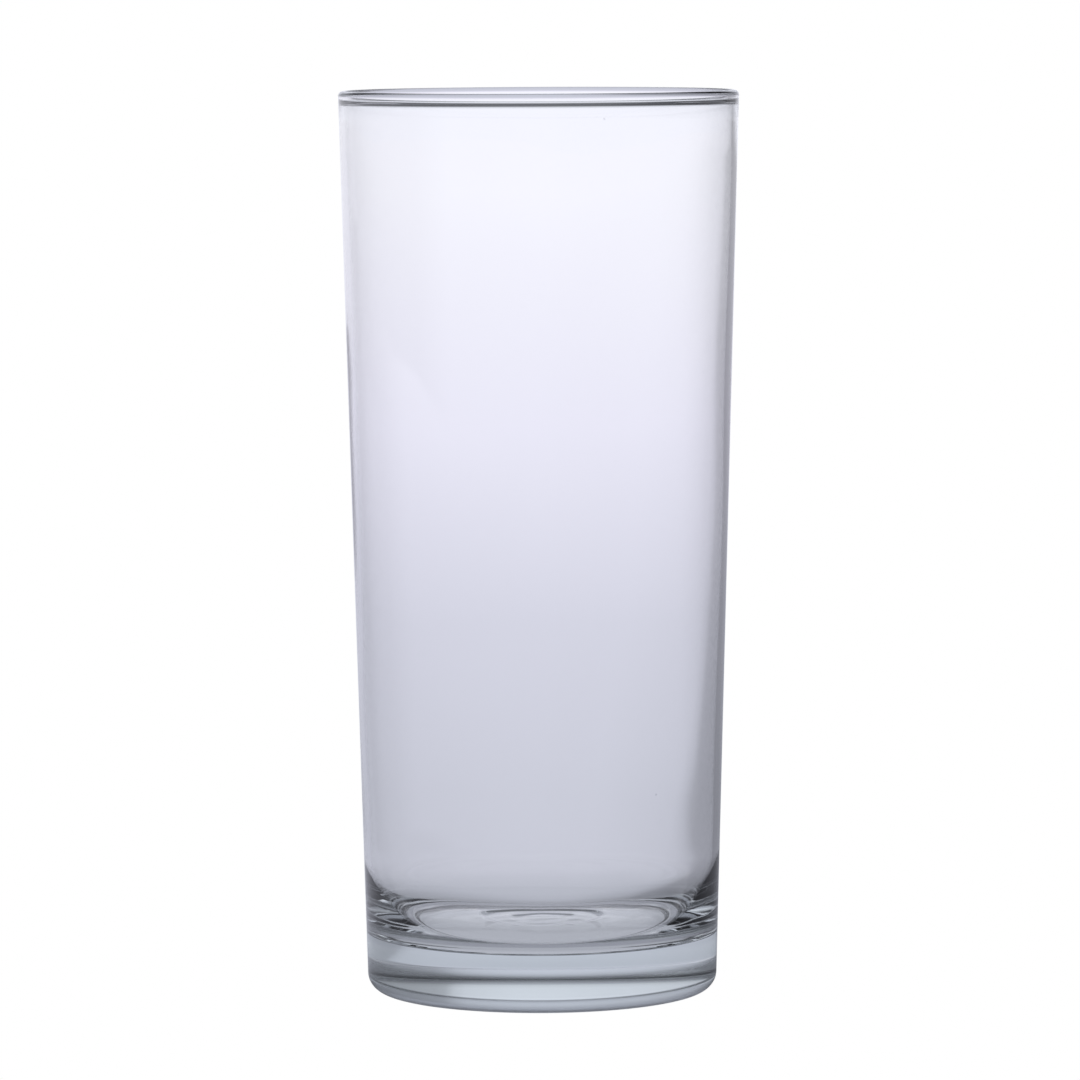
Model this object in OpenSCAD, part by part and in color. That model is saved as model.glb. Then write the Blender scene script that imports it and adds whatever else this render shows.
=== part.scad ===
// Highball glass: a tall tumbler of clear glass, formed from one gob.
// It is turned about +Z and stands on the plane z = 0.

/* [Body] */
// Overall height, from the table to the top of the rim
glass_h = 145; // [110:1:200]
// Outer diameter at the rim
rim_d = 64.2; // [50:0.1:90]
// Outer diameter that the straight side would have at the table
foot_d = 56.2; // [46:0.1:84]

/* [Wall and rim] */
// Thickness of the wall between heel and rim
wall_t = 1.05; // [0.8:0.05:2.5]
// Thickness of the fire-polished bead along the rim
bead_t = 1.6; // [0.9:0.05:3]
// Height of the bead's straight inner side, under its rounded top
bead_hold = 0.45; // [0.1:0.05:3]
// Height over which the wall swells into the bead
bead_swell_h = 1; // [0.6:0.1:8]

/* [Base] */
// Thickness of the solid base, from the table to the floor
base_t = 9; // [5:0.1:20]
// Reach of the rounded heel from the wall, in along the floor
heel_reach = 5.5; // [2:0.1:12]
// Rise of the rounded heel from the floor, up along the wall
heel_rise = 10.5; // [3:0.1:25]

/* [Foot] */
// Radius of the rounded outer edge of the foot
foot_edge_r = 2.4; // [0.3:0.1:4]
// Width of the flat ring that bears on the table
bearing_w = 5; // [2:0.1:10]
// Width of the sloping shoulder between the bearing ring and the crown of the hollow
shoulder_w = 2; // [1:0.1:6]
// Depth of the shallow hollow under the base
punt_h = 1; // [0.4:0.1:3]

/* [Hidden] */
$fn = 128;
arc_steps = 16;
glass_tint = [0.86, 0.89, 0.93, 0.5];

// Lean of the side from upright, and the level extra thickness that the lean gives
lean = atan((rim_d - foot_d) / 2 / glass_h);
level = 1 / cos(lean);

// Radius of the outer side at a height
function side_r(z) = (foot_d + (rim_d - foot_d) * z / glass_h) / 2;

// Centre of a circle of radius r that touches the outer side from within, at a height
function inside_side(r, z) = [side_r(z) - r * level, z];

// Points of an arc about a centre, from one angle to another
function arc(centre, r, from, to) = [
    for (i = [0 : arc_steps])
        let (a = from + (to - from) * i / arc_steps)
            centre + r * [cos(a), sin(a)]
];

// Share of a smooth step, from 0 at its start to 1 at its end, level at both
function swell(share) = (1 - cos(180 * share)) / 2;

bead_r = bead_t / 2;
bead_centre = inside_side(bead_r, glass_h - bead_r);
edge_centre = inside_side(foot_edge_r, foot_edge_r);
crown_r = edge_centre.x - bearing_w - shoulder_w;

crown_centre = [0, punt_h];

// Shoulder of the underside hollow, from its flat crown down to the bearing ring
shoulder_line = [
    for (i = [0 : arc_steps])
        let (share = i / arc_steps)
            [crown_r + shoulder_w * share, punt_h * (1 - swell(share))]
];

// Rounded foot edge, from the bearing ring up to the side
foot_arc = arc(edge_centre, foot_edge_r, -90, -lean);

// Fire-polished rim, from the outer side over the top to the inside
rim_arc = arc(bead_centre, bead_r, -lean, 180 - lean);

// Inside of the wall just under the bead, where the bead thins into the wall
swell_line = [
    for (i = [0 : arc_steps])
        let (
            share = i / arc_steps,
            z = rim_arc[arc_steps].y - bead_hold - bead_swell_h * share,
            t = bead_t + (wall_t - bead_t) * swell(share)
        )
            [side_r(z) - t * level, z]
];

// Rounded heel, a quarter of an ellipse from the wall down to the floor
heel_arc = [
    for (i = [0 : arc_steps])
        let (
            a = 90 * i / arc_steps,
            z = base_t + heel_rise * (1 - sin(a))
        )
            [side_r(z) - wall_t * level - heel_reach * (1 - cos(a)), z]
];

floor_centre = [0, base_t];

underside = concat([crown_centre], shoulder_line, foot_arc);
inside = concat(swell_line, heel_arc, [floor_centre]);

// The whole glass: base, wall and rim in one turned body
module tumbler() {
    color(glass_tint)
        rotate_extrude()
            polygon(concat(underside, rim_arc, inside));
}

tumbler();
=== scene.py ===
"""Highball glass: one clear tumbler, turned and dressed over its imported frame, on a pale studio floor."""
import logging
import math
from dataclasses import dataclass, field
from enum import Enum

import bpy
from mathutils import Matrix, Vector, noise


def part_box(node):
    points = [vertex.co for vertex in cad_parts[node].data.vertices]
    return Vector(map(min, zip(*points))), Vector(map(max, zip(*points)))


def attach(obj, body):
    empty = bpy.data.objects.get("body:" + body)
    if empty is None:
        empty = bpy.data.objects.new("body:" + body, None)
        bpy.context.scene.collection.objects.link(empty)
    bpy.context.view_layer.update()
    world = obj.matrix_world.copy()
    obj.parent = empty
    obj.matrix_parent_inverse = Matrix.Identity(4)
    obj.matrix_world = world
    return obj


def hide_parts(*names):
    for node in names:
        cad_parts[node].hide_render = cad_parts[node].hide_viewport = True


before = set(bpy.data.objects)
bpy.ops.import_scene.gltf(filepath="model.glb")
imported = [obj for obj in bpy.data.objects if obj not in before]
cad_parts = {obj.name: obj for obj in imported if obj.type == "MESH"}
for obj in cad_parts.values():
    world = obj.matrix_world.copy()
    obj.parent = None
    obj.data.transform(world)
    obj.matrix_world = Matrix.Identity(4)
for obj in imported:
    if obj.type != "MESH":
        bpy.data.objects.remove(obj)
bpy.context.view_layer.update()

MM = 0.001
UPRIGHT = 90.0
WHITE = (1.0, 1.0, 1.0, 1.0)
ROOM_RADIUS = 5.0
ROOM_GAIN = 1.025

# The sRGB curve, from screen values to linear light
SCREEN_WHITE = 255
CURVE_KNEE = 0.04045
CURVE_SLOPE = 12.92
CURVE_OFFSET = 0.055
CURVE_POWER = 2.4

Point = tuple[float, float]
Triple = tuple[float, float, float]
Colour = tuple[float, float, float]
Light = tuple[float, float, float, float]
Socket = bpy.types.NodeSocket

log = logging.getLogger("highball")


class Zone(Enum):
    """Stretches of the turned outline, from the underside's centre round to the floor's centre."""

    CROWN = "crown"
    SHOULDER = "shoulder"
    FOOT = "foot"
    SIDE = "side"
    RIM = "rim"
    SWELL = "swell"
    WALL = "wall"
    HEEL = "heel"
    FLOOR = "floor"


class Kind(Enum):
    """What a mix of two values carries."""

    COLOUR = "RGBA"
    NUMBER = "FLOAT"


def linear_part(value: float) -> float:
    """Turn one part of a screen colour into linear light.

    Args:
        value: Red, green or blue on the screen, where 255 is full.

    Returns:
        The part's linear light, where 1 is full.
    """
    share = value / SCREEN_WHITE
    if share <= CURVE_KNEE:
        return share / CURVE_SLOPE
    return ((share + CURVE_OFFSET) / (1 + CURVE_OFFSET)) ** CURVE_POWER


def linear(colour: Colour) -> Light:
    """Turn a screen colour into the scene's linear light.

    Args:
        colour: Red, green and blue from 0 to 255, or a little above for light brighter than white.

    Returns:
        Linear red, green and blue, and an alpha of 1.
    """
    red, green, blue = (linear_part(value) for value in colour)
    return red, green, blue, 1.0


def held(share: float) -> float:
    """Hold a share between 0 and 1.

    Args:
        share: The share, which may lie outside.

    Returns:
        The share, or the nearer end.
    """
    return min(max(share, 0.0), 1.0)


def smooth_step(share: float) -> float:
    """Ease a share from 0 to 1, level at both ends.

    Args:
        share: The plain share, held between 0 and 1.

    Returns:
        The eased share.
    """
    return (1 - math.cos(math.pi * held(share))) / 2


def even_shares(steps: int) -> list[float]:
    """Share a stretch out evenly.

    Args:
        steps: How many steps the stretch takes.

    Returns:
        The shares from 0 to 1, both included.
    """
    return [i / steps for i in range(steps + 1)]


def arc_points(centre: Point, radius: float, start: float, end: float, steps: int) -> list[Point]:
    """Points of an arc.

    Args:
        centre: Centre of the arc, as radius and height.
        radius: Radius of the arc.
        start: First angle, in radians from the level outward direction.
        end: Last angle.
        steps: How many steps the arc takes.

    Returns:
        The points, first and last included.
    """
    angles = [start + (end - start) * i / steps for i in range(steps + 1)]
    return [(centre[0] + radius * math.cos(a), centre[1] + radius * math.sin(a)) for a in angles]


def line_points(start: Point, end: Point, steps: int) -> list[Point]:
    """Points on a straight line, without its two ends.

    Args:
        start: Where the line starts.
        end: Where it ends.
        steps: How many steps the line takes.

    Returns:
        The points between the ends.
    """
    run = end[0] - start[0]
    rise = end[1] - start[1]
    return [(start[0] + run * share, start[1] + rise * share) for share in even_shares(steps)[1:-1]]


def eased_round(stops: tuple[tuple[float, float], ...], angle: float) -> float:
    """Value at a turn about the axis, eased from one named side to the next.

    Args:
        stops: Side in degrees from 0 to under 360, in rising order, and the value there.
        angle: Turn about the axis, in radians.

    Returns:
        The value at that turn.
    """
    degrees = math.degrees(angle) % 360
    first, last = stops[0], stops[-1]
    sides = ((last[0] - 360, last[1]), *stops, (first[0] + 360, first[1]))
    for (start, low), (end, high) in zip(sides, sides[1:]):
        if start <= degrees <= end:
            return low + (high - low) * smooth_step((degrees - start) / (end - start))
    return first[1]


def noise_place(angle: float, turn: float, along: float) -> Vector:
    """Place in the noise for a spot on the glass, so that a whole turn closes without a seam.

    Args:
        angle: Turn about the axis, in radians.
        turn: Radius of the whole turn in the noise; a larger one gives closer lumps.
        along: Place in the noise along the radius or the height.

    Returns:
        The place.
    """
    return Vector((math.cos(angle) * turn, math.sin(angle) * turn, along))


@dataclass
class NodeBench:
    """Adds and joins the nodes of one tree."""

    tree: bpy.types.NodeTree

    @classmethod
    def blank(cls, holder: bpy.types.Material | bpy.types.World) -> "NodeBench":
        """Start on an empty tree.

        Args:
            holder: The new material or world that the nodes are for.

        Returns:
            A bench on its tree.
        """
        holder.use_nodes = True
        holder.node_tree.nodes.clear()
        return cls(holder.node_tree)

    def add(self, kind: str, **options: object) -> bpy.types.Node:
        """Add a node.

        Args:
            kind: The node's type name.
            **options: Settings of the node, by attribute.

        Returns:
            The new node.
        """
        node = self.tree.nodes.new(kind)
        for name, value in options.items():
            setattr(node, name, value)
        return node

    def join(self, start: Socket, end: Socket) -> None:
        """Link two sockets.

        Args:
            start: The output that the link leaves.
            end: The input that it reaches.
        """
        self.tree.links.new(start, end)

    def feed(self, node: bpy.types.Node, slot: int | str, value: Socket | float | Light) -> None:
        """Give an input a link or a constant.

        Args:
            node: The node that is fed.
            slot: Number or name of its input.
            value: An output socket, or a constant.
        """
        if isinstance(value, bpy.types.NodeSocket):
            self.join(value, node.inputs[slot])
        else:
            node.inputs[slot].default_value = value

    def sum(self, operation: str, *values: Socket | float) -> Socket:
        """Work out one step of arithmetic.

        Args:
            operation: Name of the Math node's operation.
            *values: Its inputs, as links or constants.

        Returns:
            The result's socket.
        """
        node = self.add("ShaderNodeMath", operation=operation)
        for slot, value in enumerate(values):
            self.feed(node, slot, value)
        return node.outputs[0]

    def fit(self, value: Socket, start: float, end: float, low: float = 0.0, high: float = 1.0) -> Socket:
        """Carry a value smoothly from one range into another, held at both ends.

        Args:
            value: The value that is carried over.
            start: Where its range starts.
            end: Where its range ends.
            low: The result at the start.
            high: The result at the end.

        Returns:
            The result's socket.
        """
        node = self.add("ShaderNodeMapRange", interpolation_type="SMOOTHSTEP")
        for slot, entry in enumerate((value, start, end, low, high)):
            self.feed(node, slot, entry)
        return node.outputs[0]

    def ramp(self, value: Socket, stops: list[tuple[float, Light]]) -> Socket:
        """Colour a value from 0 to 1 by stops, straight from each one to the next.

        Args:
            value: The value that picks the place on the ramp.
            stops: Place and linear light of each stop, in rising order.

        Returns:
            The colour's socket.
        """
        node = self.add("ShaderNodeValToRGB")
        elements = node.color_ramp.elements
        for element, (place, light) in zip(elements, (stops[0], stops[-1])):
            element.position = place
            element.color = light
        for place, light in stops[1:-1]:
            elements.new(place).color = light
        self.join(value, node.inputs[0])
        return node.outputs[0]

    def mix(self, kind: Kind, share: Socket, start: Socket | float | Light, end: float | Light) -> Socket:
        """Mix two values.

        Args:
            kind: What the values are.
            share: How much of the second value shows.
            start: The first value, as a link or a constant.
            end: The second value.

        Returns:
            The result's socket.
        """
        node = self.add("ShaderNodeMix", data_type=kind.value)
        for slot, entry in (("Factor", share), ("A", start), ("B", end)):
            self.feed(node, slot, entry)
        return node.outputs["Result"]

    def group(self, tree: bpy.types.NodeTree, **inputs: Socket | float) -> bpy.types.Node:
        """Add a node group.

        Args:
            tree: The group's tree.
            **inputs: Its inputs by name, as links or constants.

        Returns:
            The group's node.
        """
        node = self.add("ShaderNodeGroup", node_tree=tree)
        for name, value in inputs.items():
            self.feed(node, name, value)
        return node

    def axes(self, vector: Socket) -> bpy.types.Node:
        """Split a vector into its axes.

        Args:
            vector: The vector's socket.

        Returns:
            A node with the outputs X, Y and Z.
        """
        node = self.add("ShaderNodeSeparateXYZ")
        self.join(vector, node.inputs[0])
        return node

    def length(self, vector: Socket) -> Socket:
        """Measure a vector.

        Args:
            vector: The vector's socket.

        Returns:
            The length's socket.
        """
        node = self.add("ShaderNodeVectorMath", operation="LENGTH")
        self.join(vector, node.inputs[0])
        return node.outputs["Value"]

    def clouds(self, place: Socket, scale: float, detail: float, grain: float = 0.5) -> Socket:
        """Draw smooth noise.

        Args:
            place: Where the noise is read.
            scale: How close its clouds stand, per metre.
            detail: Levels of finer clouds within the clouds.
            grain: How much the finer clouds show.

        Returns:
            The noise's socket, from 0 to 1.
        """
        node = self.add("ShaderNodeTexNoise")
        self.join(place, node.inputs["Vector"])
        node.inputs["Scale"].default_value = scale
        node.inputs["Detail"].default_value = detail
        node.inputs["Roughness"].default_value = grain
        return node.outputs[0]


@dataclass(frozen=True)
class GlassFinish:
    """Clear soda-lime glass, fire-polished, with a faint green depth, handling marks, specks of dust, and a
    foot edge worn matt and greyed with painted shade.

    Attributes:
        name: Name of the material.
        ior: Index of refraction.
        depth_tint: Colour that deep glass lets through.
        depth_density: How quickly the depth takes that colour on, per metre.
        mark_roughness: Roughness of the dullest handling marks.
        mark_scale: How close the marks stand, per metre.
        mark_detail: Levels of finer marks within the marks.
        mark_grain: How much the finer marks show.
        mark_start: Noise at which a mark starts.
        mark_full: Noise at which a mark is dullest.
        foot_roughness: Roughness of the foot edge.
        foot_shade_colour: Grey painted into the foot edge's colour, as painted shade that darkens the light
            through it.
        foot_height: Height at which the foot edge ends.
        foot_reach: Radius at which the foot edge starts.
        foot_fade: Width over which it fades into clear glass.
        wave_height: Height of the waves that the mould leaves.
        wave_scale: How close the waves stand, per metre.
        wave_detail: Levels of finer waves within the waves.
        wave_stretch: How the waves are drawn out along the height, where 1 is not at all.
        speck_cell: Distance from speck to speck.
        speck_radius: Radius of a speck.
        speck_core: Share of the radius up to which a speck is full.
        speck_edge: Share of the radius at which a speck has faded out.
        speck_colour: Colour of the dust.
    """

    name: str = "clear glass"
    ior: float = 1.52
    depth_tint: Colour = (0.55, 0.80, 0.80)
    depth_density: float = 4.0
    mark_roughness: float = 0.004
    mark_scale: float = 55.0
    mark_detail: float = 6.0
    mark_grain: float = 0.65
    mark_start: float = 0.52
    mark_full: float = 0.78
    foot_roughness: float = 0.3
    # Painted shade: this grey darkens the foot edge and the light seen through it.
    foot_shade_colour: Colour = (0.62, 0.62, 0.66)
    foot_height: float = 2.6 * MM
    foot_reach: float = 24.6 * MM
    foot_fade: float = 0.4 * MM
    wave_height: float = 0.006 * MM
    wave_scale: float = 140.0
    wave_detail: float = 2.0
    wave_stretch: float = 0.3
    speck_cell: float = 17 * MM
    speck_radius: float = 0.17 * MM
    speck_core: float = 0.55
    speck_edge: float = 1.6
    speck_colour: Colour = (0.7, 0.71, 0.74)

    def material(self) -> bpy.types.Material:
        """Make the material: principled glass, with its depth tint in the volume.

        Returns:
            The new material.
        """
        made = bpy.data.materials.new(self.name)
        bench = NodeBench.blank(made)
        place = bench.add("ShaderNodeTexCoord").outputs["Object"]
        glass = bench.add("ShaderNodeBsdfPrincipled")
        glass.inputs["Metallic"].default_value = 0.0
        glass.inputs["Transmission Weight"].default_value = 1.0
        glass.inputs["IOR"].default_value = self.ior
        edge = self.foot_wear_and_shade(bench, place)
        bench.join(self.specks(bench, place, edge), glass.inputs["Base Color"])
        bench.join(self.marks(bench, place, edge), glass.inputs["Roughness"])
        bench.join(self.waves(bench, place), glass.inputs["Normal"])
        depth = bench.add("ShaderNodeVolumeAbsorption")
        depth.inputs["Color"].default_value = (*self.depth_tint, 1.0)
        depth.inputs["Density"].default_value = self.depth_density
        output = bench.add("ShaderNodeOutputMaterial")
        bench.join(glass.outputs[0], output.inputs["Surface"])
        bench.join(depth.outputs[0], output.inputs["Volume"])
        return made

    def foot_wear_and_shade(self, bench: NodeBench, place: Socket) -> Socket:
        """Pick out the rounded foot edge, which the mould chills and the table wears matt, and which also
        gets painted shade in its colour.

        Args:
            bench: The material's nodes.
            place: Object coordinates.

        Returns:
            A socket that is 1 on the foot edge and 0 elsewhere.
        """
        height = bench.axes(place).outputs["Z"]
        level = bench.add("ShaderNodeVectorMath", operation="MULTIPLY")
        bench.join(place, level.inputs[0])
        level.inputs[1].default_value = (1.0, 1.0, 0.0)
        radius = bench.length(level.outputs[0])
        low = bench.fit(height, self.foot_height - self.foot_fade, self.foot_height, 1.0, 0.0)
        outer = bench.fit(radius, self.foot_reach, self.foot_reach + self.foot_fade)
        return bench.sum("MULTIPLY", low, outer)

    def specks(self, bench: NodeBench, place: Socket, edge: Socket) -> Socket:
        """Scatter tiny specks of dust over clear glass, and grey the foot edge with painted shade.

        Args:
            bench: The material's nodes.
            place: Object coordinates.
            edge: The foot edge's share.

        Returns:
            The base colour's socket.
        """
        cells = bench.add("ShaderNodeTexVoronoi", voronoi_dimensions="3D")
        bench.join(place, cells.inputs["Vector"])
        cells.inputs["Scale"].default_value = 1 / self.speck_cell
        reach = self.speck_radius / self.speck_cell
        far = cells.outputs["Distance"]
        near = bench.fit(far, self.speck_core * reach, self.speck_edge * reach, 1.0, 0.0)
        # Painted shade: the foot edge's base colour turns grey, darkening the light seen through it.
        foot_shaded = bench.mix(Kind.COLOUR, edge, WHITE, (*self.foot_shade_colour, 1.0))
        return bench.mix(Kind.COLOUR, near, foot_shaded, (*self.speck_colour, 1.0))

    def marks(self, bench: NodeBench, place: Socket, edge: Socket) -> Socket:
        """Leave the faint dull patches of handling on the polish, and the matt foot edge.

        Args:
            bench: The material's nodes.
            place: Object coordinates.
            edge: The foot edge's share.

        Returns:
            The roughness socket.
        """
        smudge = bench.clouds(place, self.mark_scale, self.mark_detail, self.mark_grain)
        patches = bench.fit(smudge, self.mark_start, self.mark_full, 0.0, self.mark_roughness)
        return bench.sum("MAXIMUM", patches, bench.sum("MULTIPLY", edge, self.foot_roughness))

    def waves(self, bench: NodeBench, place: Socket) -> Socket:
        """Keep the slight waviness that glass takes on in the mould, drawn out along the height.

        Args:
            bench: The material's nodes.
            place: Object coordinates.

        Returns:
            The normal's socket.
        """
        stretch = bench.add("ShaderNodeMapping")
        bench.join(place, stretch.inputs["Vector"])
        stretch.inputs["Scale"].default_value = (1.0, 1.0, self.wave_stretch)
        bump = bench.add("ShaderNodeBump")
        bump.inputs["Strength"].default_value = 1.0
        bump.inputs["Distance"].default_value = self.wave_height
        swirl = bench.clouds(stretch.outputs[0], self.wave_scale, self.wave_detail)
        bench.join(swirl, bump.inputs["Height"])
        return bump.outputs[0]


@dataclass(frozen=True)
class ChillStep:
    """One round step that chilling leaves on the floor, which lies lower within it.

    Attributes:
        start: Radius at which the step starts.
        rise: Height of the step.
        width: Width over which it rises.
    """

    start: float
    rise: float
    width: float

    def lift(self, radius: float) -> float:
        """Height of the step, measured from the floor's edge.

        Args:
            radius: Distance from the axis.

        Returns:
            The lift along the axis, 0 outside the step and below 0 within it.
        """
        return self.rise * (smooth_step((radius - self.start) / self.width) - 1)


@dataclass(frozen=True)
class Unevenness:
    """What the mould and the cooling leave uneven: a stepped floor, a lopsided heel and a wavy wall.

    Attributes:
        floor_steps: The chill steps of the floor.
        floor_turn: How close the floor's changes stand round the axis.
        floor_pace: Length of one of its changes along the radius.
        step_wander: How far the steps wander from round.
        ripple_height: Height of the ripples on the floor.
        ripple_pitch: Distance from ripple to ripple.
        ripple_change: How much the ripples' strength changes from place to place.
        ripple_grain: How much closer these changes stand than the wander.
        ripple_start: Radius at which the ripples reach their strength.
        ripple_patch: Patch of the noise that they are drawn from.
        heel_lumps: Height of the heel's lumps.
        heel_turn: How close the lumps stand round the axis.
        heel_pace: How many follow each other up the heel.
        heel_fade: Power by which they fade towards the floor and the wall.
        heel_patch: Patch of the noise that they are drawn from.
        fine_share: Height of the finer lumps on them, as a share.
        fine_grain: How much closer the finer lumps stand.
        heel_heights: How high the heel climbs on each side, as a share of its plain rise.
        wall_lumps: Height of the wall's waves.
        wall_turn: How close the waves stand round the axis.
        wall_pace: Length of one wave along the height.
        wall_patch: Patch of the noise that they are drawn from.
    """

    floor_steps: tuple[ChillStep, ...] = (
        ChillStep(start=4.0 * MM, rise=0.14 * MM, width=2.0 * MM),
        ChillStep(start=9.0 * MM, rise=0.36 * MM, width=1.8 * MM),
    )
    floor_turn: float = 1.3
    floor_pace: float = 9 * MM
    step_wander: float = 0.5 * MM
    ripple_height: float = 0.015 * MM
    ripple_pitch: float = 4.6 * MM
    ripple_change: float = 0.6
    ripple_grain: float = 1.7
    ripple_start: float = 5 * MM
    ripple_patch: Triple = (7.0, 3.0, 1.0)
    heel_lumps: float = 0.03 * MM
    heel_turn: float = 3.2
    heel_pace: float = 2.2
    heel_fade: float = 1.5
    heel_patch: Triple = (2.0, 5.0, 9.0)
    fine_share: float = 0.5
    fine_grain: float = 2.3
    heel_heights: tuple[tuple[float, float], ...] = (
        (0, 1.3),
        (40, 1.12),
        (90, 0.95),
        (140, 1.1),
        (180, 1.14),
        (225, 1.1),
        (270, 0.95),
        (318, 1.12),
    )
    wall_lumps: float = 0.05 * MM
    wall_turn: float = 1.8
    wall_pace: float = 30 * MM
    wall_patch: Triple = (11.0, 4.0, 6.0)

    def heel_height(self, angle: float) -> float:
        """How high the heel climbs at one side.

        Args:
            angle: Turn about the axis, in radians.

        Returns:
            The height, as a share of the heel's plain rise.
        """
        return eased_round(self.heel_heights, angle)

    def floor_lift(self, radius: float, angle: float) -> float:
        """Height of the chill steps and ripples above the plain floor.

        Args:
            radius: Distance from the axis.
            angle: Turn about the axis, in radians.

        Returns:
            The lift along the axis.
        """
        where = noise_place(angle, self.floor_turn, radius / self.floor_pace)
        outside = radius + self.step_wander * noise.noise(where)
        steps = sum(step.lift(outside) for step in self.floor_steps)
        change = noise.noise(where * self.ripple_grain + Vector(self.ripple_patch))
        strength = 1.0 + self.ripple_change * change
        ripple = self.ripple_height * strength * smooth_step(radius / self.ripple_start)
        return steps + ripple * math.sin(math.tau * outside / self.ripple_pitch)

    def heel_push(self, rise: float, angle: float) -> float:
        """How far the heel stands in from its plain curve.

        Args:
            rise: Share of the heel's rise, from 0 on the floor to 1 at the wall.
            angle: Turn about the axis, in radians.

        Returns:
            The push towards the axis.
        """
        around = noise_place(angle, self.heel_turn, rise * self.heel_pace)
        coarse = noise.noise(around + Vector(self.heel_patch))
        fine = self.fine_share * noise.noise(around * self.fine_grain)
        fade = math.sin(math.pi * held(rise)) ** self.heel_fade
        return self.heel_lumps * (coarse + fine) * fade

    def wall_push(self, height: float, angle: float) -> float:
        """How far the inside of the wall stands in from its plain cone.

        Args:
            height: Height above the table.
            angle: Turn about the axis, in radians.

        Returns:
            The push towards the axis.
        """
        around = noise_place(angle, self.wall_turn, height / self.wall_pace)
        return self.wall_lumps * noise.noise(around + Vector(self.wall_patch))


@dataclass
class Tumbler:
    """The whole glass: base, heel, wall and rim in one turned piece.

    Attributes:
        finish: The glass that it is made of.
        uneven: What its making leaves uneven.
        height: Overall height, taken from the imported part.
        lean: Lean of the side from upright, in radians.
        level: Level thickness of a wall that is 1 thick across.
        rim_radius: Radius of the side at the rim.
        foot_radius: Radius that the straight side would have at the table.
        wall: Thickness of the wall.
        bead: Thickness of the fire-polished bead along the rim.
        bead_hold: Height of the bead's straight inner side.
        bead_swell: Height over which the wall swells into the bead.
        base: Thickness of the solid base.
        heel_reach: Reach of the heel from the wall, in along the floor.
        heel_rise: Rise of the heel from the floor, up along the wall.
        foot_edge: Radius of the rounded foot edge.
        bearing: Width of the flat ring that bears on the table.
        shoulder: Width of the shoulder between that ring and the crown of the hollow.
        punt: Depth of the hollow.
        segments: Steps of the spin.
        crown_steps: Steps of the outline along the crown, and so on for the other stretches.
        seed: Size of the first plane, which is merged into the outline's first point.
        weld: Distance within which points are welded after the spin.
        crease: Angle from which an edge stays sharp, in degrees.
        floor_play: How far below the floor a point still counts as inside.
        climb_fade: Where the heel's climb has faded out on the wall, in heel rises.
        lift_fade: Width over which the floor's steps fade into the heel.
        wall_fade: Height over which the wall's waves fade towards the heel and the rim.
        name: Name of the piece.
    """

    finish: GlassFinish
    uneven: Unevenness = field(default_factory=Unevenness)
    height: float = field(init=False)
    lean: float = field(init=False)
    level: float = field(init=False)
    rim_radius: float = 32.08 * MM
    foot_radius: float = 28.08 * MM
    wall: float = 1.05 * MM
    bead: float = 1.6 * MM
    bead_hold: float = 0.45 * MM
    bead_swell: float = 1.0 * MM
    base: float = 9.0 * MM
    heel_reach: float = 5.5 * MM
    heel_rise: float = 10.5 * MM
    foot_edge: float = 3.0 * MM
    bearing: float = 1.8 * MM
    shoulder: float = 2 * MM
    punt: float = 1.2 * MM
    segments: int = 288
    crown_steps: int = 8
    shoulder_steps: int = 20
    foot_steps: int = 14
    side_steps: int = 48
    rim_steps: int = 28
    swell_steps: int = 16
    wall_steps: int = 48
    heel_steps: int = 56
    floor_steps: int = 52
    seed: float = 1 * MM
    weld: float = 0.002 * MM
    crease: float = 35.0
    floor_play: float = 0.01 * MM
    climb_fade: float = 2.0
    lift_fade: float = 3 * MM
    wall_fade: float = 10 * MM
    name: str = "tumbler_glass"

    def __post_init__(self) -> None:
        """Take the overall height and the side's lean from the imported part."""
        low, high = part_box("tumbler")
        self.height = high.z - low.z
        self.lean = math.atan((self.rim_radius - self.foot_radius) / self.height)
        self.level = 1 / math.cos(self.lean)

    @property
    def heel_top(self) -> float:
        """Height at which the plain heel ends on the wall."""
        return self.base + self.heel_rise

    @property
    def wall_top(self) -> float:
        """Height at which the plain wall ends under the bead."""
        return self.height - self.bead / 2 - self.bead_hold - self.bead_swell

    @property
    def floor_edge(self) -> float:
        """Radius at which the plain floor ends at the heel."""
        return self.side_radius(self.base) - self.wall * self.level - self.heel_reach

    def side_radius(self, height: float) -> float:
        """Radius of the straight outer side.

        Args:
            height: Height above the table.

        Returns:
            The radius there.
        """
        return self.foot_radius + (self.rim_radius - self.foot_radius) * height / self.height

    def outline(self) -> dict[Zone, list[Point]]:
        """Lay out the turned outline.

        Returns:
            Points of each zone in order, as radius and height.
        """
        bead_radius = self.bead / 2
        bead_height = self.height - bead_radius
        bead_centre = (self.side_radius(bead_height) - bead_radius * self.level, bead_height)
        edge_centre = (self.side_radius(self.foot_edge) - self.foot_edge * self.level, self.foot_edge)
        crown_radius = edge_centre[0] - self.bearing - self.shoulder
        outward = even_shares(self.shoulder_steps)
        foot = arc_points(edge_centre, self.foot_edge, -math.pi / 2, -self.lean, self.foot_steps)
        rim = arc_points(bead_centre, bead_radius, -self.lean, math.pi - self.lean, self.rim_steps)
        hold = rim[-1][1] - self.bead_hold
        swell = [self.swell_point(share, hold) for share in even_shares(self.swell_steps)]
        heel = [self.heel_point(share) for share in even_shares(self.heel_steps)]
        floor_radius = heel[-1][0]
        inward = even_shares(self.floor_steps)[1:]
        return {
            Zone.CROWN: [(crown_radius * share, self.punt) for share in even_shares(self.crown_steps)[:-1]],
            Zone.SHOULDER: [self.shoulder_point(share, crown_radius) for share in outward],
            Zone.FOOT: foot,
            Zone.SIDE: line_points(foot[-1], rim[0], self.side_steps),
            Zone.RIM: rim,
            Zone.SWELL: swell,
            Zone.WALL: line_points(swell[-1], heel[0], self.wall_steps),
            Zone.HEEL: heel,
            Zone.FLOOR: [(floor_radius * (1 - share), self.base) for share in inward],
        }

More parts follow.
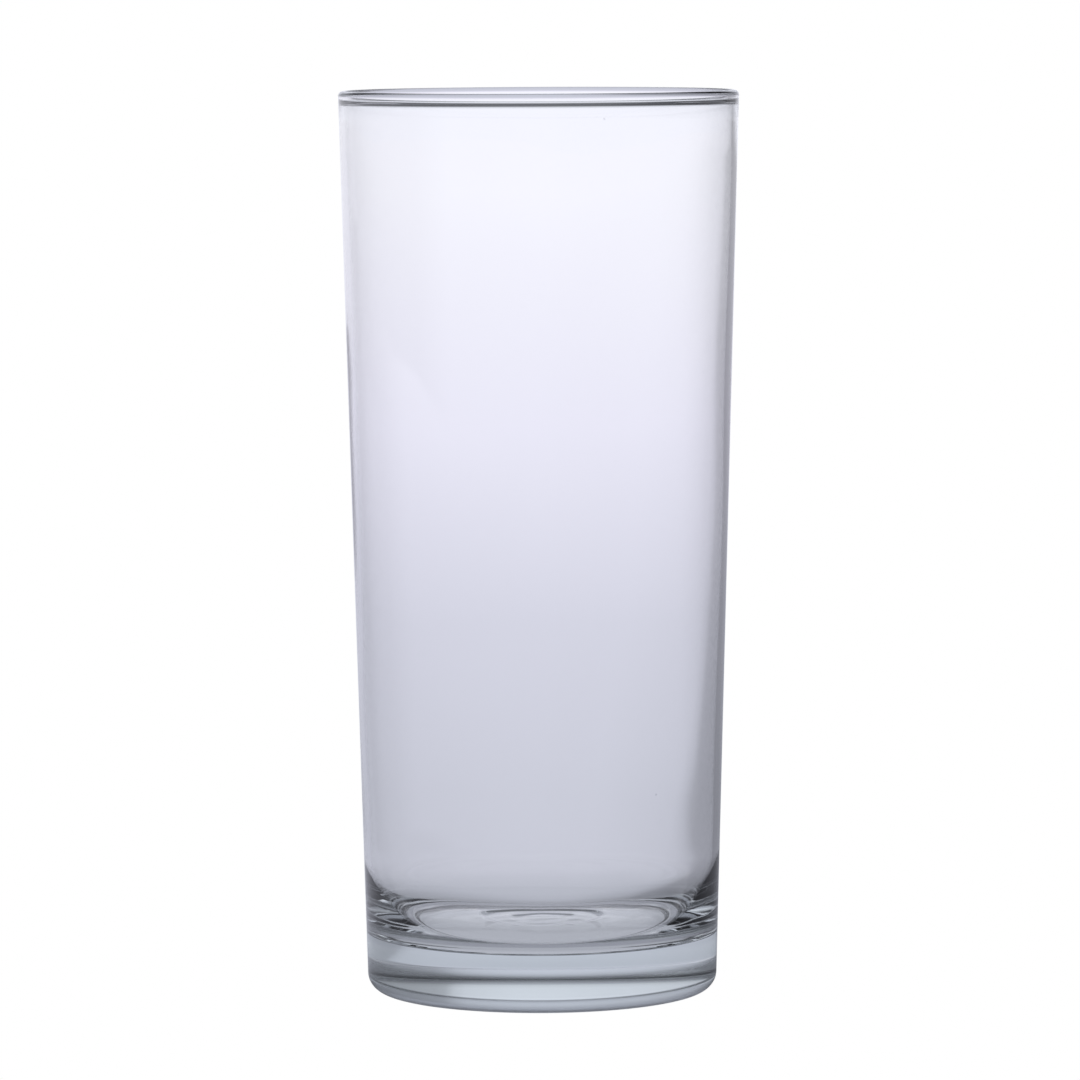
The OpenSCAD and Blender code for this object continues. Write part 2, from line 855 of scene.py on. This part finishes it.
    def shoulder_point(self, share: float, crown_radius: float) -> Point:
        """Point of the hollow's shoulder.

        Args:
            share: Share of the way, from the crown at 0 to the bearing ring at 1.
            crown_radius: Radius of the crown.

        Returns:
            The point, as radius and height.
        """
        return crown_radius + self.shoulder * share, self.punt * (1 - smooth_step(share))

    def swell_point(self, share: float, start: float) -> Point:
        """Point of the inside under the bead.

        Args:
            share: Share of the way, from the bead at 0 to the plain wall at 1.
            start: Height at which the bead ends.

        Returns:
            The point, as radius and height.
        """
        height = start - self.bead_swell * share
        thickness = self.bead + (self.wall - self.bead) * smooth_step(share)
        return self.side_radius(height) - thickness * self.level, height

    def heel_point(self, share: float) -> Point:
        """Point of the heel's quarter ellipse.

        Args:
            share: Share of the quarter turn, from the wall at 0 to the floor at 1.

        Returns:
            The point, as radius and height.
        """
        angle = math.pi / 2 * share
        height = self.base + self.heel_rise * (1 - math.sin(angle))
        inset = self.wall * self.level + self.heel_reach * (1 - math.cos(angle))
        return self.side_radius(height) - inset, height

    def build(self) -> bpy.types.Object:
        """Draw the outline point by point, spin it about the axis and let it settle.

        Returns:
            The finished, dressed piece.
        """
        points = [point for zone in self.outline().values() for point in zone]
        bpy.ops.object.select_all(action="DESELECT")
        bpy.ops.mesh.primitive_plane_add(size=self.seed, location=(0.0, 0.0, 0.0))
        piece = bpy.context.object
        piece.name = self.name
        bpy.ops.object.mode_set(mode="EDIT")
        bpy.ops.mesh.select_mode(type="VERT")
        bpy.ops.mesh.select_all(action="SELECT")
        bpy.ops.mesh.merge(type="CENTER")
        bpy.ops.transform.translate(value=(points[0][0], 0.0, points[0][1]))
        for last, point in zip(points, points[1:]):
            step = (point[0] - last[0], 0.0, point[1] - last[1])
            bpy.ops.mesh.extrude_vertices_move(TRANSFORM_OT_translate={"value": step})
        bpy.ops.mesh.select_all(action="SELECT")
        bpy.ops.mesh.spin(
            steps=self.segments, angle=math.tau, center=(0.0, 0.0, 0.0), axis=(0.0, 0.0, 1.0)
        )
        bpy.ops.mesh.select_all(action="SELECT")
        bpy.ops.mesh.remove_doubles(threshold=self.weld)
        bpy.ops.mesh.normals_make_consistent(inside=False)
        bpy.ops.object.mode_set(mode="OBJECT")
        self.settle(piece)
        bpy.ops.object.shade_smooth_by_angle(angle=math.radians(self.crease))
        self.dress(piece)
        return piece

    def settle(self, piece: bpy.types.Object) -> None:
        """Move the inside of the glass by what the mould and the cooling leave uneven.

        Args:
            piece: The turned glass.
        """
        for vertex in piece.data.vertices:
            x, y, z = vertex.co
            radius = math.hypot(x, y)
            angle = math.atan2(y, x)
            if not self.is_inside(radius, z):
                continue
            push, climb = self.shift(radius, angle, z)
            vertex.co.x -= push * math.cos(angle)
            vertex.co.y -= push * math.sin(angle)
            vertex.co.z += climb

    def is_inside(self, radius: float, height: float) -> bool:
        """Tell the inside below the bead from the rest of the glass.

        Args:
            radius: Distance of a point from the axis.
            height: Its height above the table.

        Returns:
            Whether the point lies on the floor, the heel or the inside of the wall.
        """
        between = self.base - self.floor_play < height < self.wall_top
        return between and radius < self.side_radius(height) - self.wall / 2

    def shift(self, radius: float, angle: float, height: float) -> tuple[float, float]:
        """How far a point of the inside moves when the glass settles.

        Args:
            radius: Distance of the point from the axis.
            angle: Turn about the axis, in radians.
            height: Its height above the table.

        Returns:
            The push towards the axis, and the climb along it.
        """
        rise = (height - self.base) / self.heel_rise
        climb = (self.uneven.heel_height(angle) - 1) * self.heel_rise * min(rise, 1.0)
        climb *= 1 - smooth_step((height - self.heel_top) / (self.climb_fade * self.heel_rise))
        if height < self.heel_top:
            push = self.uneven.heel_push(rise, angle)
            lift = self.uneven.floor_lift(radius, angle)
            climb += lift * smooth_step((self.floor_edge + self.lift_fade - radius) / self.lift_fade)
        else:
            share = min(height - self.heel_top, self.wall_top - height) / self.wall_fade
            push = self.uneven.wall_push(height, angle) * smooth_step(share)
        push -= climb * math.tan(self.lean) * held(rise)
        return push, climb

    def dress(self, piece: bpy.types.Object) -> None:
        """Give the piece its glass and hand it to the frame.

        Args:
            piece: The turned glass.
        """
        piece.data.materials.clear()
        piece.data.materials.append(self.finish.material())
        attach(piece, "root")
        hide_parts("tumbler")


@dataclass(frozen=True)
class SideLight:
    """How the studio's light falls off to the sides of the bright field behind the glass.

    Attributes:
        name: Name of the node group.
        near: Distance from the axis up to which the field is widest.
        far: Distance from which it has its plain width.
        near_spread: Share by which turns count within the near distance.
        floor_end: Distance at which the floor hands over to the backdrop.
        sky_start: Distance at which the backdrop has taken over.
        sky_spread: Share by which turns count on the backdrop.
        levels: Turn from straight behind the glass in degrees, and the share of light that is left there.
    """

    name: str = "side light"
    near: float = 40 * MM
    far: float = 260 * MM
    near_spread: float = 0.4
    floor_end: float = 4.0
    sky_start: float = 5.0
    sky_spread: float = 0.45
    levels: tuple[tuple[float, float], ...] = (
        (-180, 0.96),
        (-75, 0.9),
        (-40, 0.8),
        (-24, 0.88),
        (-14, 0.92),
        (-10, 0.95),
        (-6, 0.97),
        (-2, 1.0),
        (3, 1.0),
        (8, 0.91),
        (9.4, 0.87),
        (10.7, 0.63),
        (11.8, 0.54),
        (18, 0.47),
        (28, 0.4),
        (60, 0.42),
        (85, 0.9),
        (180, 0.96),
    )

    def group(self) -> bpy.types.NodeTree:
        """Make the node group that the floor and the backdrop share.

        Returns:
            A group that takes a place and its distance and gives the share of light that is left there.
        """
        tree = bpy.data.node_groups.new(self.name, "ShaderNodeTree")
        tree.interface.new_socket("Place", in_out="INPUT", socket_type="NodeSocketVector")
        tree.interface.new_socket("Distance", in_out="INPUT", socket_type="NodeSocketFloat")
        tree.interface.new_socket("Share", in_out="OUTPUT", socket_type="NodeSocketFloat")
        bench = NodeBench(tree)
        given = bench.add("NodeGroupInput")
        axes = bench.axes(given.outputs["Place"])
        turn = bench.sum("ARCTAN2", axes.outputs["X"], axes.outputs["Y"])
        spread = self.spread(bench, given.outputs["Distance"], turn)
        along = bench.sum("MULTIPLY_ADD", bench.sum("MULTIPLY", turn, spread), 1 / math.tau, 0.5)
        stops = [(degrees / 360 + 0.5, (level, level, level, 1.0)) for degrees, level in self.levels]
        share = bench.ramp(along, stops)
        result = bench.add("NodeGroupOutput")
        bench.join(share, result.inputs["Share"])
        return tree

    def spread(self, bench: NodeBench, distance: Socket, turn: Socket) -> Socket:
        """Share by which a turn counts, which goes back to 1 in front so that the two sides meet.

        Args:
            bench: The group's nodes.
            distance: Distance from the axis.
            turn: Turn from straight behind the glass, in radians.

        Returns:
            The share's socket.
        """
        squeeze = bench.fit(distance, self.near, self.far, self.near_spread, 1.0)
        widen = bench.fit(distance, self.floor_end, self.sky_start, 1.0, self.sky_spread)
        spread = bench.sum("MULTIPLY", squeeze, widen)
        front = bench.sum("MULTIPLY", bench.sum("MULTIPLY", turn, turn), 1 / math.pi**2)
        return bench.sum("MULTIPLY_ADD", bench.sum("SUBTRACT", 1.0, spread), front, spread)


def white_for_camera(bench: NodeBench, colour: Socket, strength: Socket, shader: bpy.types.Node) -> None:
    """Show plain white to the camera and the lit room to the glass.

    Args:
        bench: The nodes of the floor or of the backdrop.
        colour: Colour that the glass sees.
        strength: Strength that the glass sees.
        shader: The emission or background node that is fed.
    """
    seen = bench.add("ShaderNodeLightPath").outputs["Is Camera Ray"]
    bench.join(bench.mix(Kind.COLOUR, seen, colour, WHITE), shader.inputs["Color"])
    bench.join(bench.mix(Kind.NUMBER, seen, strength, 1.0), shader.inputs["Strength"])


@dataclass(frozen=True)
class PaleFloor:
    """Finish of the floor: it glows softly, with the glass's contact shadow on it.

    Attributes:
        name: Name of the material.
        stops: Distance from the axis, and the screen colour that the glass sees there.
        side_start: Distance at which the side light starts to show.
        side_full: Distance at which it shows in full.
        gain: Gain of the light, away from the glass.
        gain_start: Distance at which the gain starts.
        gain_full: Distance at which it is reached.
    """

    name: str = "pale floor"
    stops: tuple[tuple[float, Colour], ...] = (
        (16 * MM, (186, 189, 200)),
        (20 * MM, (178, 181, 192)),
        (24 * MM, (166, 169, 179)),
        (30 * MM, (160, 163, 173)),
        (36 * MM, (168, 171, 182)),
        (46 * MM, (181, 184, 196)),
        (60 * MM, (187, 190, 202)),
        (90 * MM, (198, 200, 213)),
        (250 * MM, (201, 203, 216)),
        (600 * MM, (210, 211, 225)),
        (1.3, (233, 232, 247)),
        (4.0, (247, 247, 256)),
    )
    side_start: float = 26 * MM
    side_full: float = 36 * MM
    gain: float = ROOM_GAIN
    gain_start: float = 35 * MM
    gain_full: float = 120 * MM

    def material(self, side_light: bpy.types.NodeTree) -> bpy.types.Material:
        """Make the material.

        Args:
            side_light: The side light's node group.

        Returns:
            The new material.
        """
        made = bpy.data.materials.new(self.name)
        bench = NodeBench.blank(made)
        place = bench.add("ShaderNodeTexCoord").outputs["Object"]
        far = bench.length(place)
        colour = self.colour(bench, far)
        share = bench.group(side_light, Place=place, Distance=far).outputs["Share"]
        outer = bench.fit(far, self.side_start, self.side_full)
        left = bench.sum("ADD", 1.0, bench.sum("MULTIPLY", outer, bench.sum("SUBTRACT", share, 1.0)))
        lift = bench.fit(far, self.gain_start, self.gain_full, 1.0, self.gain)
        glow = bench.add("ShaderNodeEmission")
        white_for_camera(bench, colour, bench.sum("MULTIPLY", left, lift), glow)
        output = bench.add("ShaderNodeOutputMaterial")
        bench.join(glow.outputs[0], output.inputs["Surface"])
        return made

    def colour(self, bench: NodeBench, far: Socket) -> Socket:
        """Colour that the glass sees, by the logarithm of the distance.

        Args:
            bench: The material's nodes.
            far: Distance from the axis.

        Returns:
            The colour's socket.
        """
        first, last = self.stops[0][0], self.stops[-1][0]
        span = math.log(last / first)
        times = bench.sum("LOGARITHM", bench.sum("DIVIDE", far, first), math.e)
        stops = [(math.log(radius / first) / span, linear(colour)) for radius, colour in self.stops]
        return bench.ramp(bench.sum("DIVIDE", times, span), stops)


@dataclass(frozen=True)
class Backdrop:
    """The lit room round the glass: bright behind it, dimmer overhead and to the sides.

    Attributes:
        name: Name of the world.
        stops: Height in degrees above the horizon, and the screen colour that the glass sees there.
        distance: Distance at which the side light takes the backdrop to hang.
        gain: Gain of the light.
        even_start: Share of the way overhead at which the side light starts to even out.
        even_full: Share of the way overhead at which it is even.
        even_level: The even share of light overhead.
    """

    name: str = "studio"
    stops: tuple[tuple[float, Colour], ...] = (
        (-5, (248, 248, 257)),
        (0, (245, 246, 256)),
        (5, (224, 227, 238)),
        (12, (205, 208, 217)),
        (24, (95, 97, 103)),
        (60, (95, 97, 103)),
        (72, (150, 153, 163)),
        (90, (158, 161, 171)),
    )
    distance: float = ROOM_RADIUS
    gain: float = ROOM_GAIN
    even_start: float = 0.35
    even_full: float = 0.9
    even_level: float = 0.8

    def world(self, side_light: bpy.types.NodeTree) -> bpy.types.World:
        """Make the world.

        Args:
            side_light: The side light's node group.

        Returns:
            The new world.
        """
        made = bpy.data.worlds.new(self.name)
        bench = NodeBench.blank(made)
        place = bench.add("ShaderNodeTexCoord").outputs["Generated"]
        slope = bench.sum("ARCSINE", bench.axes(place).outputs["Z"])
        rise = bench.sum("DIVIDE", slope, math.radians(UPRIGHT))
        colour = self.colour(bench, rise)
        share = bench.group(side_light, Place=place, Distance=self.distance).outputs["Share"]
        upper = bench.fit(rise, self.even_start, self.even_full)
        even = bench.sum("MULTIPLY", upper, bench.sum("SUBTRACT", self.even_level, share))
        strength = bench.sum("MULTIPLY", bench.sum("ADD", share, even), self.gain)
        sky = bench.add("ShaderNodeBackground")
        white_for_camera(bench, colour, strength, sky)
        output = bench.add("ShaderNodeOutputWorld")
        bench.join(sky.outputs[0], output.inputs["Surface"])
        return made

    def colour(self, bench: NodeBench, rise: Socket) -> Socket:
        """Colour that the glass sees, by the height above the horizon.

        Args:
            bench: The world's nodes.
            rise: Share of the way from the horizon to overhead.

        Returns:
            The colour's socket.
        """
        rises = [degrees / UPRIGHT for degrees, _ in self.stops]
        first = rises[0]
        span = rises[-1] - first
        along = bench.sum("DIVIDE", bench.sum("SUBTRACT", rise, first), span)
        stops = [((at - first) / span, linear(colour)) for at, (_, colour) in zip(rises, self.stops)]
        return bench.ramp(along, stops)


@dataclass(frozen=True)
class StudioCamera:
    """The camera, with a long lens and no depth of field.

    Attributes:
        name: Name of the camera.
        place: Where it stands.
        dip: How far it looks down, in degrees.
        roll: How far it is rolled about its view, in degrees.
        yaw: How far it is turned about the upright, in degrees.
        lens: Focal length in millimetres.
        sensor: Width of the sensor in millimetres.
        reach: Distance up to which it sees.
    """

    name: str = "studio_camera"
    place: Triple = (0.0, -1.0500, 0.1637)
    dip: float = 4.947
    roll: float = -0.245
    yaw: float = 0.0038
    lens: float = 218.4
    sensor: float = 36.0
    reach: float = 100.0

    def build(self) -> bpy.types.Object:
        """Stand the camera in its place and make it the scene's own.

        Returns:
            The camera.
        """
        bpy.ops.object.select_all(action="DESELECT")
        bpy.ops.object.camera_add(location=self.place)
        camera = bpy.context.object
        camera.name = self.name
        camera.data.lens = self.lens
        camera.data.sensor_width = self.sensor
        camera.data.clip_end = self.reach
        camera.data.dof.use_dof = False
        camera.matrix_world = (
            Matrix.Translation(self.place)
            @ Matrix.Rotation(math.radians(self.yaw), 4, "Z")
            @ Matrix.Rotation(math.radians(UPRIGHT - self.dip), 4, "X")
            @ Matrix.Rotation(math.radians(self.roll), 4, "Z")
        )
        bpy.context.scene.camera = camera
        return camera


@dataclass
class Studio:
    """Pale floor, soft light and the camera. The camera sees plain white, and the glass sees the lit room.

    Attributes:
        side_light: How the light falls off to the sides.
        finish: Finish of the floor.
        backdrop: The lit room.
        camera: The camera.
        floor_name: Name of the floor.
        floor_radius: Radius of the floor.
        floor_gap: How far the floor lies below the glass.
        floor_sides: Corners of the floor's outline.
        light_bounces: How many bounces light is followed for.
    """

    side_light: SideLight = field(default_factory=SideLight)
    finish: PaleFloor = field(default_factory=PaleFloor)
    backdrop: Backdrop = field(default_factory=Backdrop)
    camera: StudioCamera = field(default_factory=StudioCamera)
    floor_name: str = "studio_floor"
    floor_radius: float = ROOM_RADIUS
    floor_gap: float = 0.2 * MM
    floor_sides: int = 96
    light_bounces: int = 7

    def build(self) -> None:
        """Lay the floor, hang the light, and set the camera and the colour handling."""
        group = self.side_light.group()
        self.dress(self.lay_floor(), group)
        scene = bpy.context.scene
        scene.world = self.backdrop.world(group)
        self.camera.build()
        scene.view_settings.view_transform = "Standard"
        scene.view_settings.look = "None"
        scene.cycles.max_bounces = self.light_bounces
        scene.cycles.transmission_bounces = self.light_bounces
        scene.cycles.glossy_bounces = self.light_bounces

    def lay_floor(self) -> bpy.types.Object:
        """Lay a wide, round floor just under the glass.

        Returns:
            The floor.
        """
        bpy.ops.object.select_all(action="DESELECT")
        bpy.ops.mesh.primitive_circle_add(
            vertices=self.floor_sides,
            radius=self.floor_radius,
            fill_type="NGON",
            location=(0.0, 0.0, -self.floor_gap),
        )
        floor = bpy.context.object
        floor.name = self.floor_name
        bpy.ops.object.transform_apply(location=True, rotation=False, scale=False)
        return floor

    def dress(self, floor: bpy.types.Object, group: bpy.types.NodeTree) -> None:
        """Give the floor its finish.

        Args:
            floor: The floor.
            group: The side light's node group.
        """
        floor.data.materials.append(self.finish.material(group))


def main() -> None:
    """Build the glass and its studio, and report each piece."""
    logging.basicConfig(level=logging.INFO, format="%(name)s: %(message)s")
    glass = Tumbler(finish=GlassFinish()).build()
    log.info("%s: %d faces, %s", glass.name, len(glass.data.polygons), glass.data.materials[0].name)
    Studio().build()
    log.info("studio: floor, backdrop and camera")


if __name__ == "__main__":
    main()
